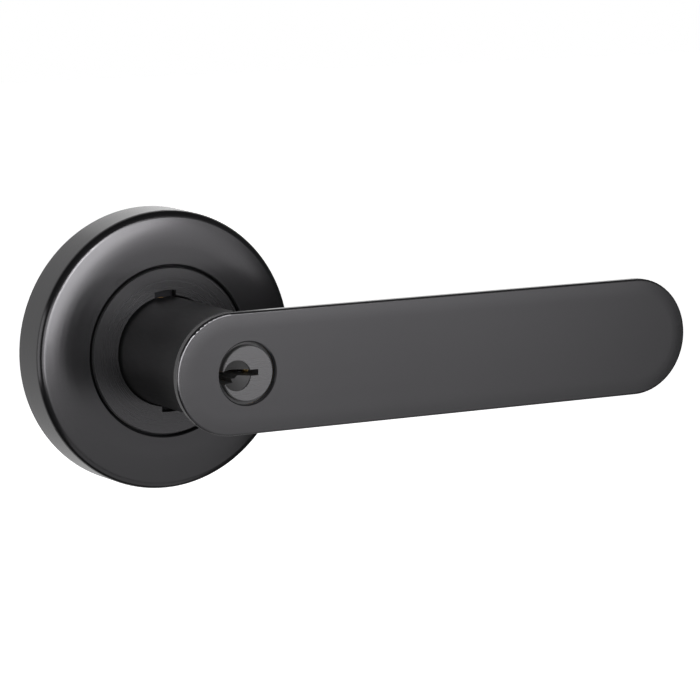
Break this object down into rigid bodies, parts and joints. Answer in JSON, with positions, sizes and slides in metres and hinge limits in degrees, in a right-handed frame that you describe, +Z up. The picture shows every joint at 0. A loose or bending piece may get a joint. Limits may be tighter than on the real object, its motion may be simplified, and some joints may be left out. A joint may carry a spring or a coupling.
{
  "type": "keyed lever door handle",
  "caption": "Keyed lever door handle: round satin black rose, flat paddle lever and key cylinder, with its return spring, square spindle, tailpiece and door mounting plate.",
  "frame": {"origin": "on the spindle's axis, at the face of the door that the handle is mounted on", "axes": "+Y along the spindle into the door, +X along the lever towards its free end, +Z up"},
  "size_m": [0.1498, 0.1002, 0.065],
  "materials": {
    "rose_black": "satin black coating, fine turned grain",
    "collar_black": "satin black coating",
    "lever_black": "satin black coating over a brushed face",
    "plug_black": "satin black plating, brushed face",
    "zinc_steel": "bright zinc plate",
    "spring_steel": "oiled spring steel",
    "hard_steel": "ground dowel pin",
    "die_cast": "die-cast aluminium, black dipped",
    "bronze": "sintered bronze",
    "brass": "turned brass"
  },
  "bodies": {
    "rose": {"rose_cover": "rose_black", "collar_ring": "collar_black", "collar_screws": "zinc_steel", "cassette_body": "die_cast", "cassette_screws": "zinc_steel", "mounting_plate": "zinc_steel", "mounting_post_top": "zinc_steel", "mounting_post_bottom": "zinc_steel", "cover_snap_ring": "spring_steel", "front_bush": "bronze", "rear_bush": "bronze", "return_spring": "spring_steel"},
    "lever": {"lever_handle": "lever_black", "drive_sleeve": "zinc_steel", "spring_driver": "die_cast", "thrust_washer": "zinc_steel", "circlip": "spring_steel", "spindle_carrier": "die_cast", "spindle": "zinc_steel", "spindle_pin": "hard_steel", "catch_spring": "spring_steel", "cylinder_body": "brass", "chamber_cover": "brass", "cylinder_retainer": "die_cast", "driver_spring_1": "spring_steel", "driver_spring_2": "spring_steel", "driver_spring_3": "spring_steel", "driver_spring_4": "spring_steel", "driver_spring_5": "spring_steel"},
    "catch": {"lever_catch": "die_cast"},
    "plug": {"cylinder_plug": "plug_black", "plug_clip": "spring_steel", "tailpiece": "zinc_steel", "tailpiece_pin": "hard_steel"},
    "driver_pin_1": {"driver_pin_1": "brass"},
    "key_pin_1": {"key_pin_1": "brass"},
    "driver_pin_2": {"driver_pin_2": "brass"},
    "key_pin_2": {"key_pin_2": "brass"},
    "driver_pin_3": {"driver_pin_3": "brass"},
    "key_pin_3": {"key_pin_3": "brass"},
    "driver_pin_4": {"driver_pin_4": "brass"},
    "key_pin_4": {"key_pin_4": "brass"},
    "driver_pin_5": {"driver_pin_5": "brass"},
    "key_pin_5": {"key_pin_5": "brass"}
  },
  "joints": [
    {"name": "lever_turn", "type": "hinge", "parent": "rose", "child": "lever", "pos_m": [0, 0, 0], "axis": [0, 1, 0], "range_deg": [-45, 45], "stiffness_Nm_per_rad": 2, "springref_deg": -2.86, "deforming": ["return_spring"]},
    {"name": "catch_slide", "type": "slide", "parent": "lever", "child": "catch", "axis": [0.0558, 0, -0.9984], "range_m": [0, 0.0016], "stiffness_N_per_m": 150, "springref_m": -0.001, "deforming": ["catch_spring"]},
    {"name": "plug_turn", "type": "hinge", "parent": "lever", "child": "plug", "pos_m": [0, -0.05, 0], "axis": [0, 1, 0], "range_deg": [-90, 90]},
    {"name": "driver_pin_slide_1", "type": "slide", "parent": "lever", "child": "driver_pin_1", "axis": [1, 0, 0], "range_m": [0, 0.0009], "stiffness_N_per_m": 100, "springref_m": -0.001, "deforming": ["driver_spring_1"]},
    {"name": "key_pin_slide_1", "type": "slide", "parent": "plug", "child": "key_pin_1", "axis": [-1, 0, 0], "range_m": [0, 0.0007]},
    {"name": "driver_pin_slide_2", "type": "slide", "parent": "lever", "child": "driver_pin_2", "axis": [1, 0, 0], "range_m": [0, 0.0009], "stiffness_N_per_m": 100, "springref_m": -0.001, "deforming": ["driver_spring_2"]},
    {"name": "key_pin_slide_2", "type": "slide", "parent": "plug", "child": "key_pin_2", "axis": [-1, 0, 0], "range_m": [0, 0.0017]},
    {"name": "driver_pin_slide_3", "type": "slide", "parent": "lever", "child": "driver_pin_3", "axis": [1, 0, 0], "range_m": [0, 0.0009], "stiffness_N_per_m": 100, "springref_m": -0.001, "deforming": ["driver_spring_3"]},
    {"name": "key_pin_slide_3", "type": "slide", "parent": "plug", "child": "key_pin_3", "axis": [-1, 0, 0], "range_m": [0, 0.0003]},
    {"name": "driver_pin_slide_4", "type": "slide", "parent": "lever", "child": "driver_pin_4", "axis": [1, 0, 0], "range_m": [0, 0.0009], "stiffness_N_per_m": 100, "springref_m": -0.001, "deforming": ["driver_spring_4"]},
    {"name": "key_pin_slide_4", "type": "slide", "parent": "plug", "child": "key_pin_4", "axis": [-1, 0, 0], "range_m": [0, 0.0013]},
    {"name": "driver_pin_slide_5", "type": "slide", "parent": "lever", "child": "driver_pin_5", "axis": [1, 0, 0], "range_m": [0, 0.0009], "stiffness_N_per_m": 100, "springref_m": -0.001, "deforming": ["driver_spring_5"]},
    {"name": "key_pin_slide_5", "type": "slide", "parent": "plug", "child": "key_pin_5", "axis": [-1, 0, 0], "range_m": [0, 0.0009]}
  ]
}
